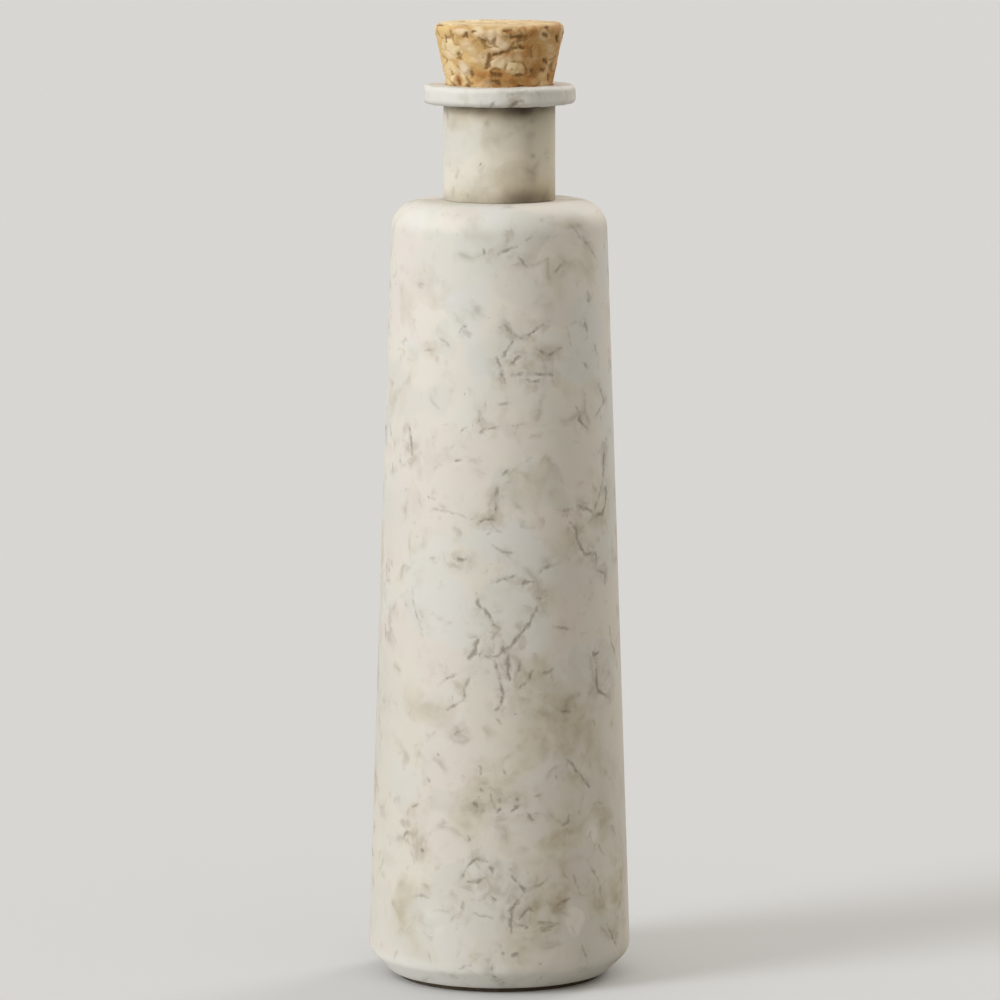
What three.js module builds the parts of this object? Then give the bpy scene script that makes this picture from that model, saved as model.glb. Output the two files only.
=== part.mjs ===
// Apothecary vial: a turned marble bottle with a glass lining, closed by a tapered cork.
// Millimetres, +Z up. The origin is the centre of the foot, on the surface that the vial stands on.
// Every piece is a solid of revolution about Z, turned from an outline of radius and height.
import * as THREE from "three";

// Roundness of the turned pieces: facets around the axis, and half the steps in each rounded edge.
const FACETS = 64;
const ARC_STEPS = 3;

// Foot: a thin cork disc glued under the base.
const FOOT_THICKNESS = 1.0;
const FOOT_MARGIN = 1.5; // from the disc's edge to the edge of the stone's flat underside

// Body: a leaning wall between a chamfered base and a rounded shoulder, bored out from below.
const BODY_HEIGHT = 152.4; // stone underside to the flat of the shoulder
const BASE_DIAMETER = 51.7; // the widest place, at the top of the chamfer
const BASE_CHAMFER = 4.2;
const SHOULDER_DIAMETER = 41.8; // where the wall's line would meet the plane of the shoulder's flat
const SHOULDER_ROUNDING = 5.6;
const BODY_WALL = 5.3; // stone between the bore and the shoulder's diameter
const ROOF_THICKNESS = 10.0; // stone left over the bore

// Base plug and the stack that it holds up in the bore.
const PLUG_THICKNESS = 8.0;
const SEAT_THICKNESS = 2.0; // soft disc under the glass
const GASKET_THICKNESS = 2.0; // soft ring over the glass
const LINER_WALL = 1.6;
const LINER_FLOOR = 2.4;
const LINER_CORNER = 3.0; // outside rounding between the glass wall and floor
const LINER_RIM_ROUNDING = 0.4;

// Neck: a tube with a stepped-down spigot that passes through the roof of the body.
const NECK_DIAMETER = 21.8;
const NECK_HEIGHT = 18.8; // shoulder flat to the underside of the lip
const NECK_BORE = 13.0;
const SPIGOT_WALL = 2.4;
const MOUTH_WALL = 1.0; // stone around the conical mouth at the top end of the neck

// Lip: a flat ring on the end of the neck.
const LIP_DIAMETER = 29.7;
const LIP_THICKNESS = 3.7;
const LIP_ROUNDING = 1.0;
const LIP_REBATE = 0.9; // depth of the step in its underside that takes the neck's end

// Cork: a plain taper, whose slope is also the slope of the mouth.
const CORK_SLOPE = 0.22; // radius gained for each millimetre of height
const CORK_EXPOSED = 12.1; // above the lip
const CORK_INSERTED = 12.5; // below the top of the lip
const CORK_TOP_ROUNDING = 1.4;
const CORK_END_BEVEL = 0.5;

// Clearances, each on the radius.
const CEMENT_GAP = 0.15; // bond lines between the stone pieces
const LINER_CLEARANCE = 0.5; // around the glass, the gasket and the seat disc
const CORK_CLEARANCE = 0.15;

// Heights, from the surface that the vial stands on.
const stoneBottom = FOOT_THICKNESS;
const chamferTop = stoneBottom + BASE_CHAMFER;
const shoulder = stoneBottom + BODY_HEIGHT;
const roof = shoulder - ROOF_THICKNESS;
const plugTop = stoneBottom + PLUG_THICKNESS;
const seatTop = plugTop + SEAT_THICKNESS;
const gasketBottom = roof - GASKET_THICKNESS;
const lipBottom = shoulder + NECK_HEIGHT;
const neckTop = lipBottom + LIP_REBATE;
const lipTop = lipBottom + LIP_THICKNESS;
const corkEnd = lipTop - CORK_INSERTED;
const corkTop = lipTop + CORK_EXPOSED;

// Radii.
const baseRadius = BASE_DIAMETER / 2;
const baseFlatRadius = baseRadius - BASE_CHAMFER;
const shoulderRadius = SHOULDER_DIAMETER / 2;
const boreRadius = shoulderRadius - BODY_WALL;
const linedRadius = boreRadius - LINER_CLEARANCE;
const neckRadius = NECK_DIAMETER / 2;
const passageRadius = NECK_BORE / 2;
const spigotRadius = passageRadius + SPIGOT_WALL;
const lipRadius = LIP_DIAMETER / 2;

// Radius of the conical mouth at a height, and of the cork that sits in it.
const mouthRadius = (height) => neckRadius - MOUTH_WALL + CORK_SLOPE * (height - neckTop);
const corkRadius = (height) => mouthRadius(height) - CORK_CLEARANCE;

const marble = new THREE.MeshStandardMaterial({ color: 0xdcd8cd, roughness: 0.5, metalness: 0 });
const lipMarble = new THREE.MeshStandardMaterial({ color: 0xe2dfda, roughness: 0.5, metalness: 0 });
const glass = new THREE.MeshStandardMaterial({
  color: 0xdfe8e4,
  roughness: 0.05,
  metalness: 0,
  transparent: true,
  opacity: 0.35,
});
const silicone = new THREE.MeshStandardMaterial({ color: 0xb9b7b0, roughness: 0.7, metalness: 0 });
const cork = new THREE.MeshStandardMaterial({ color: 0xc8a36a, roughness: 0.9, metalness: 0 });

// An outline from points of radius and height.
function outlineThrough(...points) {
  return new THREE.Path(points.map(([radius, height]) => new THREE.Vector2(radius, height)));
}

// A named piece, turned from an outline that runs up its outside and down its inside.
// An outline that starts and ends on the axis makes a solid piece, and any other closes into a ring.
function turned(name, outline, material) {
  const onAxis = outline.getPoint(0).x === 0 && outline.currentPoint.x === 0;
  if (!onAxis) outline.closePath();
  const geometry = new THREE.LatheGeometry(outline.getPoints(ARC_STEPS), FACETS);
  const mesh = new THREE.Mesh(geometry.rotateX(Math.PI / 2), material);
  mesh.name = name;
  return mesh;
}

// A flat disc between two heights.
function disc(name, radius, bottom, top, material) {
  return turned(name, outlineThrough([0, bottom], [radius, bottom], [radius, top], [0, top]), material);
}

function footDisc() {
  return disc("foot_disc", baseFlatRadius - FOOT_MARGIN, 0, stoneBottom, cork);
}

function bodyShell() {
  // The shoulder's rounding is tangent to the flat on top and to the wall, which leans inwards.
  const lean = Math.atan2(baseRadius - shoulderRadius, shoulder - chamferTop);
  const roundingHeight = shoulder - SHOULDER_ROUNDING;
  const wallThere = shoulderRadius + SHOULDER_ROUNDING * Math.tan(lean);
  const roundingRadius = wallThere - SHOULDER_ROUNDING / Math.cos(lean);
  const spigotHole = spigotRadius + CEMENT_GAP;

  const outline = outlineThrough(
    [boreRadius, stoneBottom],
    [baseFlatRadius, stoneBottom],
    [baseRadius, chamferTop],
  );
  outline.absarc(roundingRadius, roundingHeight, SHOULDER_ROUNDING, lean, Math.PI / 2);
  outline.lineTo(spigotHole, shoulder);
  outline.lineTo(spigotHole, roof);
  outline.lineTo(boreRadius, roof);
  return turned("body_shell", outline, marble);
}

function basePlug() {
  return disc("base_plug", boreRadius - CEMENT_GAP, stoneBottom, plugTop, marble);
}

function seatDisc() {
  return disc("seat_disc", linedRadius, plugTop, seatTop, silicone);
}

function glassLiner() {
  const innerRadius = linedRadius - LINER_WALL;
  const innerCorner = LINER_CORNER - LINER_WALL;
  const floorTop = seatTop + LINER_FLOOR;
  const rim = LINER_RIM_ROUNDING;

  const outline = outlineThrough([0, seatTop], [linedRadius - LINER_CORNER, seatTop]);
  outline.absarc(linedRadius - LINER_CORNER, seatTop + LINER_CORNER, LINER_CORNER, -Math.PI / 2, 0);
  outline.absarc(linedRadius - rim, gasketBottom - rim, rim, 0, Math.PI / 2);
  outline.absarc(innerRadius + rim, gasketBottom - rim, rim, Math.PI / 2, Math.PI);
  outline.absarc(innerRadius - innerCorner, floorTop + innerCorner, innerCorner, 0, -Math.PI / 2, true);
  outline.lineTo(0, floorTop);
  return turned("glass_liner", outline, glass);
}

function rimGasket() {
  const outline = outlineThrough(
    [passageRadius, gasketBottom],
    [linedRadius, gasketBottom],
    [linedRadius, roof],
    [passageRadius, roof],
  );
  return turned("rim_gasket", outline, silicone);
}

function neck() {
  // The mouth narrows down to the bore, which then runs straight to the spigot's end.
  const mouthDepth = (mouthRadius(neckTop) - passageRadius) / CORK_SLOPE;

  const outline = outlineThrough(
    [passageRadius, roof],
    [spigotRadius, roof],
    [spigotRadius, shoulder],
    [neckRadius, shoulder],
    [neckRadius, neckTop],
    [mouthRadius(neckTop), neckTop],
    [passageRadius, neckTop - mouthDepth],
  );
  return turned("neck", outline, marble);
}

function lipRing() {
  const rebateRadius = neckRadius + CEMENT_GAP;

  const outline = outlineThrough(
    [mouthRadius(neckTop), neckTop],
    [rebateRadius, neckTop],
    [rebateRadius, lipBottom],
  );
  outline.absarc(lipRadius - LIP_ROUNDING, lipBottom + LIP_ROUNDING, LIP_ROUNDING, -Math.PI / 2, 0);
  outline.absarc(lipRadius - LIP_ROUNDING, lipTop - LIP_ROUNDING, LIP_ROUNDING, 0, Math.PI / 2);
  outline.lineTo(mouthRadius(lipTop), lipTop);
  return turned("lip_ring", outline, lipMarble);
}

function corkStopper() {
  // The top edge's rounding is tangent to the flat top and to the sides, which lean outwards.
  const slopeAngle = Math.atan(CORK_SLOPE);
  const roundingHeight = corkTop - CORK_TOP_ROUNDING;
  const roundingRadius = corkRadius(roundingHeight) - CORK_TOP_ROUNDING / Math.cos(slopeAngle);

  const outline = outlineThrough(
    [0, corkEnd],
    [corkRadius(corkEnd) - CORK_END_BEVEL, corkEnd],
    [corkRadius(corkEnd + CORK_END_BEVEL), corkEnd + CORK_END_BEVEL],
  );
  outline.absarc(roundingRadius, roundingHeight, CORK_TOP_ROUNDING, -slopeAngle, Math.PI / 2);
  outline.lineTo(0, corkTop);
  return turned("cork_stopper", outline, cork);
}

// The bottle stays together, and the stopper is a group of its own, because it lifts out.
const bottle = new THREE.Group();
bottle.add(footDisc(), bodyShell(), basePlug(), seatDisc(), glassLiner(), rimGasket(), neck(), lipRing());

const stopper = new THREE.Group();
stopper.add(corkStopper());

const vial = new THREE.Group();
vial.add(bottle, stopper);

export default vial;
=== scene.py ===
"""Apothecary vial: a turned marble bottle with a glass lining and a granulated cork.

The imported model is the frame. A finely turned piece stands for each of its nodes, in the same place,
with its surface worked in geometry and its colour made by nodes. Objects are in metres, outlines and
patterns are worked out in millimetres, and the front of the vial faces -Y.
"""
import math
from typing import Callable, NamedTuple

import bpy
import numpy as np
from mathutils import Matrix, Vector


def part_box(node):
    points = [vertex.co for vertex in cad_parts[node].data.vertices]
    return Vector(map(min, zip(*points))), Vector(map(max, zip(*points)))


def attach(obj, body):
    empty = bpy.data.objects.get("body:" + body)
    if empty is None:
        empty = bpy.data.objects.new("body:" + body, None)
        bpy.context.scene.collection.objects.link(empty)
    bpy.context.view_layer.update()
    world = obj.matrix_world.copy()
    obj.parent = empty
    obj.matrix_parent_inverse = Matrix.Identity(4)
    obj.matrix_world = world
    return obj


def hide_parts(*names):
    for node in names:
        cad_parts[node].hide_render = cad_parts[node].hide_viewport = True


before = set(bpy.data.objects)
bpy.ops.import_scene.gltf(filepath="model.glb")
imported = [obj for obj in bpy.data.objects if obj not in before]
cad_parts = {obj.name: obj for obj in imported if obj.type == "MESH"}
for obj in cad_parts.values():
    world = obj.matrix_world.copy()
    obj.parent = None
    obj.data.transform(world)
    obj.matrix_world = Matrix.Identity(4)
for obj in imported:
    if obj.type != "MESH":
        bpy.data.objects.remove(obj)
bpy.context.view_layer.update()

MM = 0.001

# Sizes that the boxes of the nodes don't give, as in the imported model.
BASE_CHAMFER = 4.2
SHOULDER_DIAMETER = 41.8
SHOULDER_ROUNDING = 5.6
CEMENT_GAP = 0.15
LINER_WALL = 1.6
LINER_FLOOR = 2.4
LINER_CORNER = 3.0
LINER_RIM_ROUNDING = 0.4
NECK_BORE = 13.0
SPIGOT_WALL = 2.4
MOUTH_WALL = 1.0
LIP_ROUNDING = 1.0
CORK_SLOPE = 0.22
CORK_CLEARANCE = 0.15
CORK_TOP_ROUNDING = 1.4
CORK_END_BEVEL = 0.5

# Spacing of the points of an outline, on the surfaces that show and inside.
BODY_STEP = 0.55
FINE_STEP = 0.3
MOUTH_STEP = 0.6
FOOT_STEP = 0.6
INNER_STEP = 0.8
LINER_STEP = 1.0
LINER_WALL_STEP = 2.0
LINER_RIM_STEP = 0.5
HIDDEN_STEP = 3.0

# Roundings of edges, and how far from the neck the worked surface of the shoulder starts.
EDGE_ROUNDING = 0.35
BASE_ROUNDING = 1.0
CHAMFER_ROUNDING = 3.6
SEAM_ROUNDING = 0.1
REBATE_ROUNDING = 0.15
NECK_FOOT_ROUNDING = 0.25
MOUTH_ROUNDING = 0.3
FOOT_ROUNDING = 0.2
PLUG_ROUNDING = 0.3
SEAT_ROUNDING = 0.4
GASKET_ROUNDING = 0.3
NECK_MARGIN = 0.4

# Facets round each piece, and round the others.
FACETS = {"body": 256, "neck": 208, "lip": 288, "cork": 288, "foot": 160, "liner": 160}
OTHER_FACETS = 128


def span(node):
    """A turned node's radius, bottom and top."""
    low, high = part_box(node)
    return high.x / MM, low.z / MM, high.z / MM


BASE_RADIUS, STONE_BOTTOM, SHOULDER = span("body_shell")
PLUG_RADIUS, _, PLUG_TOP = span("base_plug")
FOOT_RADIUS, FOOT_BOTTOM, FOOT_TOP = span("foot_disc")
LINED_RADIUS, LINER_BOTTOM, LINER_TOP = span("glass_liner")
_, SEAT_BOTTOM, SEAT_TOP = span("seat_disc")
_, GASKET_BOTTOM, GASKET_TOP = span("rim_gasket")
NECK_RADIUS, ROOF, NECK_TOP = span("neck")
LIP_RADIUS, LIP_BOTTOM, LIP_TOP = span("lip_ring")
_, CORK_END, CORK_TOP = span("cork_stopper")

SHOULDER_RADIUS = SHOULDER_DIAMETER / 2
BORE_RADIUS = PLUG_RADIUS + CEMENT_GAP
PASSAGE_RADIUS = NECK_BORE / 2
SPIGOT_RADIUS = PASSAGE_RADIUS + SPIGOT_WALL
CHAMFER_TOP = STONE_BOTTOM + BASE_CHAMFER


def wall_radius(height):
    """Radius of the body's leaning wall."""
    share = (height - CHAMFER_TOP) / (SHOULDER - CHAMFER_TOP)
    return BASE_RADIUS + share * (SHOULDER_RADIUS - BASE_RADIUS)


def mouth_radius(height):
    """Radius of the conical mouth that the cork sits in."""
    return NECK_RADIUS - MOUTH_WALL + CORK_SLOPE * (height - NECK_TOP)


def cork_radius(height):
    return mouth_radius(height) - CORK_CLEARANCE


def shade(red, green, blue):
    """A colour written as on a screen, from 0 to 255, in the linear form that nodes take."""
    def linear(value):
        part = value / 255
        return part / 12.92 if part <= 0.04045 else ((part + 0.055) / 1.055) ** 2.4

    return (linear(red), linear(green), linear(blue), 1.0)


class Graph:
    """Adds nodes to a shader or geometry tree. Inputs are numbers, tuples or other nodes' outputs."""

    def __init__(self, tree):
        self.tree = tree

    def node(self, kind, inputs=None, **settings):
        made = self.tree.nodes.new(kind)
        for name, value in settings.items():
            setattr(made, name, value)
        for key, value in (inputs or {}).items():
            socket = made.inputs[key]
            if isinstance(value, bpy.types.NodeSocket):
                self.tree.links.new(value, socket)
            else:
                socket.default_value = value
        return made

    def math(self, operation, *values):
        inputs = dict(enumerate(values))
        return self.node("ShaderNodeMath", inputs, operation=operation).outputs[0]

    def total(self, first, *others):
        for other in others:
            first = self.math("ADD", first, other)
        return first

    def product(self, first, *others):
        for other in others:
            first = self.math("MULTIPLY", first, other)
        return first

    def larger(self, first, second):
        return self.math("MAXIMUM", first, second)

    def covered(self, clear, amount):
        """How much a layer hides, where an amount of 1 leaves clear of what is under it."""
        return self.math("SUBTRACT", 1.0, self.math("POWER", clear, amount))

    def vector(self, operation, *values):
        inputs = dict(enumerate(values))
        return self.node("ShaderNodeVectorMath", inputs, operation=operation).outputs[0]

    def scaled(self, vector, factor):
        inputs = {0: vector, "Scale": factor}
        return self.node("ShaderNodeVectorMath", inputs, operation="SCALE").outputs[0]

    def length(self, vector):
        return self.node("ShaderNodeVectorMath", {0: vector}, operation="LENGTH").outputs["Value"]

    def dot(self, first, second):
        inputs = {0: first, 1: second}
        return self.node("ShaderNodeVectorMath", inputs, operation="DOT_PRODUCT").outputs["Value"]

    def split(self, vector):
        return self.node("ShaderNodeSeparateXYZ", {0: vector}).outputs

    def join(self, x, y, z):
        return self.node("ShaderNodeCombineXYZ", {0: x, 1: y, 2: z}).outputs[0]

    def ramp(self, value, low, high, start=0.0, end=1.0):
        """A smooth step from start, where value is low, to end, where it is high."""
        inputs = {"Value": value, "From Min": low, "From Max": high, "To Min": start, "To Max": end}
        made = self.node("ShaderNodeMapRange", inputs, interpolation_type="SMOOTHSTEP")
        return made.outputs[0]

    def noise(self, position, size, detail=2.0, roughness=0.5):
        inputs = {
            "Vector": position,
            "Scale": 1 / size,
            "Detail": detail,
            "Roughness": roughness,
        }
        return self.node("ShaderNodeTexNoise", inputs).outputs

    def cells(self, position, size, feature="F1", smoothness=0.0):
        inputs = {"Vector": position, "Scale": 1 / size}
        if feature == "SMOOTH_F1":
            inputs["Smoothness"] = smoothness
        return self.node("ShaderNodeTexVoronoi", inputs, feature=feature).outputs

    def border(self, position, size):
        """Distance in millimetres to the border of the cell that position is in."""
        return self.product(self.cells(position, size, "DISTANCE_TO_EDGE")["Distance"], size)

    def read(self, name, kind="FLOAT"):
        """A mesh attribute's value, in a shader or a geometry tree."""
        if self.tree.bl_idname == "GeometryNodeTree":
            made = self.node("GeometryNodeInputNamedAttribute", {"Name": name}, data_type=kind)
            return made.outputs[0]
        made = self.node("ShaderNodeAttribute", attribute_name=name)
        return made.outputs["Fac" if kind == "FLOAT" else "Vector"]

    def wander(self, position, size, reach):
        """Position moved by up to reach in swirls of a size."""
        drift = self.vector("SUBTRACT", self.noise(position, size)[1], (0.5, 0.5, 0.5))
        return self.vector("ADD", position, self.scaled(drift, 2 * reach))

    def blend(self, factor, first, second):
        inputs = {0: factor, 6: first, 7: second}
        return self.node("ShaderNodeMix", inputs, data_type="RGBA").outputs[2]

    def tint(self, colour, over, value, low, high, most=1.0):
        """Colour with another over it, by none where value is low and by most where it is high."""
        return self.blend(self.ramp(value, low, high, 0.0, most), colour, over)


class Corner(NamedTuple):
    """A corner of an outline. The step is the spacing of points on the run that leads to it."""
    radius: float
    height: float
    rounding: float = 0.0
    step: float = HIDDEN_STEP


def unit(vector):
    return vector / np.linalg.norm(vector)


def rounded(before, corner, after):
    """Points around a corner, or the corner itself where it is sharp."""
    here = np.array(corner[:2])
    if not corner.rounding:
        return [here]
    back = unit(np.array(before[:2]) - here)
    ahead = unit(np.array(after[:2]) - here)
    half = math.acos(np.clip(back @ ahead, -1, 1)) / 2
    centre = here + unit(back + ahead) * corner.rounding / math.sin(half)
    start = here + back * corner.rounding / math.tan(half) - centre
    sweep = math.pi - 2 * half
    if back[0] * ahead[1] - back[1] * ahead[0] > 0:
        sweep = -sweep
    count = max(3, math.ceil(abs(sweep) * corner.rounding / corner.step))
    points = []
    for share in np.linspace(0, 1, count + 1):
        cosine = math.cos(sweep * share)
        sine = math.sin(sweep * share)
        turned = (start[0] * cosine - start[1] * sine, start[0] * sine + start[1] * cosine)
        points.append(centre + np.array(turned))
    return points


def outline(corners, closed):
    """Points of radius, height and skin, which is 1 on the surfaces that show, along the corners."""
    points = []
    for index, corner in enumerate(corners):
        ends = not closed and index in (0, len(corners) - 1)
        before = corners[index - 1]
        after = corners[(index + 1) % len(corners)]
        bend = [np.array(corner[:2])] if ends else rounded(before, corner, after)
        skin = 1.0 if corner.step < HIDDEN_STEP else 0.0
        if points:
            points += run(points[-1][:2], bend[0], corner.step, skin)
        points += [(*point, skin) for point in bend]
    if closed:
        points += run(points[-1][:2], points[0][:2], corners[0].step, 0.0)
    return np.array(points)


def run(start, end, step, skin):
    """Points between two others, without them, at most step apart."""
    count = math.ceil(math.dist(start, end) / step)
    shares = np.arange(1, count) / count
    start, end = np.array(start), np.array(end)
    return [(*(start + share * (end - start)), skin) for share in shares]


def keep(mesh, name, values):
    """Stores a number or a vector for each point of a mesh."""
    kind, field = ("FLOAT_VECTOR", "vector") if values.ndim == 2 else ("FLOAT", "value")
    made = mesh.attributes.new(name, kind, "POINT")
    made.data.foreach_set(field, values.astype(np.float32).ravel())


def turned_mesh(name, corners, closed):
    """A mesh turned about Z from corners that run up its outside and down its inside."""
    points = outline(corners, closed)
    facets = FACETS.get(name, OTHER_FACETS)
    angles = np.arange(facets) * 2 * math.pi / facets
    rings = points if closed else points[1:-1]
    verts = np.empty((len(rings), facets, 3))
    verts[:, :, 0] = rings[:, :1] * np.cos(angles)
    verts[:, :, 1] = rings[:, :1] * np.sin(angles)
    verts[:, :, 2] = rings[:, 1:2]
    verts = verts.reshape(-1, 3)
    skin = np.repeat(rings[:, 2], facets)

    index = np.arange(len(rings) * facets).reshape(len(rings), facets)
    lower = index if closed else index[:-1]
    upper = np.roll(index, -1, axis=0) if closed else index[1:]
    quads = np.stack([lower, np.roll(lower, -1, 1), np.roll(upper, -1, 1), upper], axis=-1)
    faces = quads.reshape(-1, 4).tolist()
    if not closed:
        bottom, top = len(verts), len(verts) + 1
        poles = [(0, 0, points[0, 1]), (0, 0, points[-1, 1])]
        verts = np.concatenate([verts, poles])
        skin = np.concatenate([skin, points[[0, -1], 2]])
        ahead = np.roll(index, -1, 1)
        faces += [(bottom, b, a) for a, b in zip(index[0].tolist(), ahead[0].tolist())]
        faces += [(top, a, b) for a, b in zip(index[-1].tolist(), ahead[-1].tolist())]

    mesh = bpy.data.meshes.new(name)
    mesh.from_pydata((verts * MM).tolist(), [], faces)
    keep(mesh, "skin", skin)
    mesh.shade_smooth()
    mesh.validate()
    return mesh


def new_object(name, data):
    made = bpy.data.objects.new(name, data)
    bpy.context.collection.objects.link(made)
    return made


def add_piece(node, body, mesh, material):
    """A shown piece that stands for a CAD node."""
    mesh.materials.append(material)
    piece = new_object(node + "_finish", mesh)
    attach(piece, body)
    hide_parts(node)
    return piece


def carve(piece, relief):
    """Moves a piece's skin along its normals by relief, in millimetres, and keeps the new shape."""
    tree = bpy.data.node_groups.new("relief", "GeometryNodeTree")
    tree.interface.new_socket("Geometry", in_out="INPUT", socket_type="NodeSocketGeometry")
    tree.interface.new_socket("Geometry", in_out="OUTPUT", socket_type="NodeSocketGeometry")
    graph = Graph(tree)
    source = graph.node("NodeGroupInput").outputs[0]
    position = graph.scaled(graph.node("GeometryNodeInputPosition").outputs[0], 1 / MM)
    skin = graph.read("skin")
    height = graph.product(relief(graph, position), skin, MM)
    normal = graph.node("GeometryNodeInputNormal").outputs[0]
    moved = graph.node(
        "GeometryNodeSetPosition",
        {"Geometry": source, "Offset": graph.scaled(normal, height)},
    )
    graph.node("NodeGroupOutput", {0: moved.outputs[0]})
    modifier = piece.modifiers.new("relief", "NODES")
    modifier.node_group = tree
    depsgraph = bpy.context.evaluated_depsgraph_get()
    carved = bpy.data.meshes.new_from_object(piece.evaluated_get(depsgraph))
    piece.modifiers.clear()
    plain = piece.data
    piece.data = carved
    carved.name = plain.name + "_carved"
    bpy.data.meshes.remove(plain)
    bpy.data.node_groups.remove(tree)


def new_material(name):
    """A material's graph, its principled shader and the place on the piece in millimetres."""
    material = bpy.data.materials.new(name)
    material.use_nodes = True
    graph = Graph(material.node_tree)
    shader = material.node_tree.nodes["Principled BSDF"]
    position = graph.scaled(graph.node("ShaderNodeTexCoord").outputs["Object"], 1 / MM)
    return material, graph, shader, position


def finish_material(graph, shader, colour, roughness, height):
    """Links a colour, a roughness and a fine relief in millimetres to a principled shader."""
    bump = graph.node("ShaderNodeBump", {"Distance": MM, "Height": height})
    graph.tree.links.new(colour, shader.inputs["Base Color"])
    graph.tree.links.new(roughness, shader.inputs["Roughness"])
    graph.tree.links.new(bump.outputs[0], shader.inputs["Normal"])


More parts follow.
